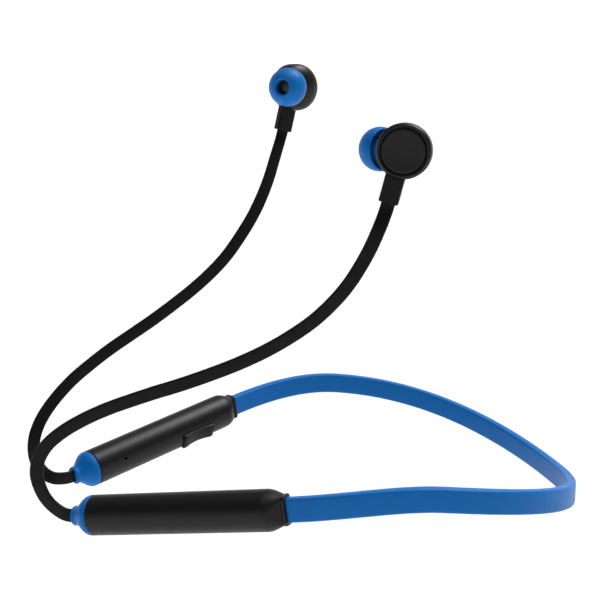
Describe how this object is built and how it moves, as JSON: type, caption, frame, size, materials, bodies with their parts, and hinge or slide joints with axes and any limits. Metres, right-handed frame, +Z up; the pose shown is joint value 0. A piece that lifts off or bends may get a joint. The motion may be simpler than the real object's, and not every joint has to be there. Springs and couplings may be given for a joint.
{
  "type": "neckband earphones",
  "caption": "Springy silicone neckband with slim black tubes at its ends, each carrying a flat cable to an angled in-ear bud with a magnetic flat back.",
  "frame": {"origin": "the inside of the band at the middle of the nape, at half the band's height", "axes": "+Z up as worn, -X forward from the nape along the arms to the chest, +Y to the wearer's right, the side with the keys"},
  "size_m": [0.1602, 0.1286, 0.1284],
  "materials": {
    "blue_silicone": "satin blue silicone rubber",
    "black_plastic": "satin black moulded plastic",
    "black_rubber": "matt black soft rubber",
    "spring_steel": "drawn spring wire",
    "copper_leads": "bundle of enamelled copper leads",
    "steel": "stamped steel",
    "magnet_plating": "nickel plating",
    "circuit_board": "green solder mask",
    "switch_plastic": "dark moulded plastic",
    "antenna_ceramic": "fired ceramic",
    "cell_wrap": "shrink wrap",
    "foam": "closed-cell foam",
    "light_pipe": "clear moulded plastic"
  },
  "bodies": {
    "left_side": {"neck_band_left": "blue_silicone", "memory_wire_left": "spring_steel", "band_wiring_left": "copper_leads", "battery_tube_shell": "black_plastic", "battery_tube_collar": "black_plastic", "battery_tube_cap": "blue_silicone", "battery_protection_board": "circuit_board", "battery_cell": "cell_wrap", "battery_foam_pad": "foam", "left_bud_back": "black_plastic", "left_bud_back_disc": "black_plastic", "left_bud_holding_magnet": "magnet_plating", "left_driver": "steel", "left_bud_front": "black_plastic", "left_nozzle_mesh": "steel", "left_stem": "black_rubber", "left_cable": "black_rubber"},
    "right_side": {"neck_band_right": "blue_silicone", "memory_wire_right": "spring_steel", "band_wiring_right": "copper_leads", "control_tube_shell": "black_plastic", "control_tube_collar": "black_plastic", "control_tube_cap": "blue_silicone", "main_board": "circuit_board", "bluetooth_module": "steel", "antenna": "antenna_ceramic", "status_light_pipe": "light_pipe", "rocker_bracket": "steel", "volume_down_switch": "switch_plastic", "play_switch": "switch_plastic", "volume_up_switch": "switch_plastic", "charging_socket": "steel", "microphone_gasket": "black_rubber", "microphone": "steel", "right_bud_back": "black_plastic", "right_bud_back_disc": "black_plastic", "right_bud_holding_magnet": "magnet_plating", "right_driver": "steel", "right_bud_front": "black_plastic", "right_nozzle_mesh": "steel", "right_stem": "black_rubber", "right_cable": "black_rubber"},
    "key_pin": {"rocker_pin": "steel"},
    "rocker": {"volume_rocker": "black_plastic"},
    "port_cover": {"port_cover": "black_rubber"},
    "left_ear_tip": {"left_ear_tip": "blue_silicone"},
    "right_ear_tip": {"right_ear_tip": "blue_silicone"}
  },
  "joints": [
    {"name": "band_flex", "type": "hinge", "parent": "left_side", "child": "right_side", "pos_m": [0.003, 0, 0], "axis": [0, 0, -1], "range_deg": [0, 20], "stiffness_Nm_per_rad": 0.35},
    {"name": "key_press", "type": "slide", "parent": "right_side", "child": "key_pin", "axis": [-0.5472, 0.6974, 0.4628], "range_m": [0, 0.0003], "stiffness_N_per_m": 5000},
    {"name": "volume_rock", "type": "hinge", "parent": "key_pin", "child": "rocker", "pos_m": [-0.10529, 0.04043, 0.00547], "axis": [0.1309, -0.4748, 0.8703], "range_deg": [-4, 4], "stiffness_Nm_per_rad": 0.1},
    {"name": "port_cover_hinge", "type": "hinge", "parent": "right_side", "child": "port_cover", "pos_m": [-0.12534, 0.03193, -0.00264], "axis": [-0.5472, 0.6974, 0.4628], "range_deg": [0, 100]},
    {"name": "left_tip_pull", "type": "slide", "parent": "left_side", "child": "left_ear_tip", "axis": [-0.5, 0.866, 0], "range_m": [0, 0.008]},
    {"name": "right_tip_pull", "type": "slide", "parent": "right_side", "child": "right_ear_tip", "axis": [-0.5, -0.866, 0], "range_m": [0, 0.008]}
  ]
}
